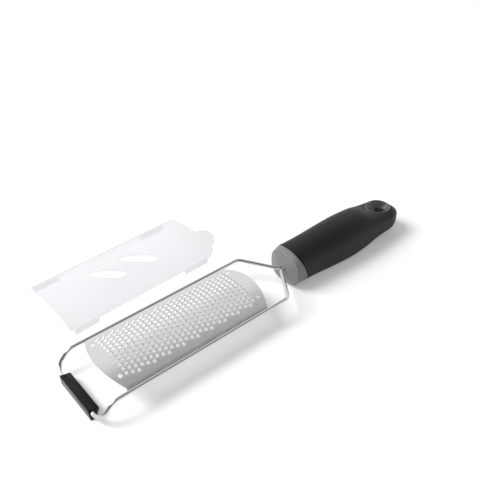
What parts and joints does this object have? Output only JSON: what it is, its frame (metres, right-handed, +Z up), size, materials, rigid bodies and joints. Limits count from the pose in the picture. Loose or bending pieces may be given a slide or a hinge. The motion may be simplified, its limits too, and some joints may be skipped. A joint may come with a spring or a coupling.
{
  "type": "hand grater",
  "caption": "Flat hand grater: an arched perforated steel blade in a bent wire frame with a rubber foot and a soft black handle, its translucent clip-on blade cover lying beside it.",
  "frame": {"origin": "centre of the rubber foot's flat base, on the table", "axes": "+X from the foot along the rails to the handle's end, +Y across to the side where the cover lies, +Z up from the table"},
  "size_m": [0.303, 0.1471, 0.0325],
  "materials": {
    "frame_steel": "polished stainless wire",
    "blade_steel": "satin etched stainless sheet",
    "foot_rubber": "matte moulded rubber",
    "collar_plastic": "fine matte moulding, mid grey",
    "core_plastic": "plain moulding, hidden",
    "grip_rubber": "soft matte overmoulding",
    "eyelet_plastic": "glossy moulding",
    "cover_plastic": "translucent white moulding"
  },
  "bodies": {
    "grater": {"frame_wire": "frame_steel", "blade": "blade_steel", "foot": "foot_rubber", "handle_collar": "collar_plastic", "handle_core": "core_plastic", "handle_grip": "grip_rubber", "hang_eyelet": "eyelet_plastic"},
    "cover": {"blade_cover": "cover_plastic"}
  },
  "joints": [
    {"name": "cover_lift", "type": "slide", "parent": "grater", "child": "cover", "axis": [0, 0, 1], "range_m": [0, 0.09]}
  ]
}
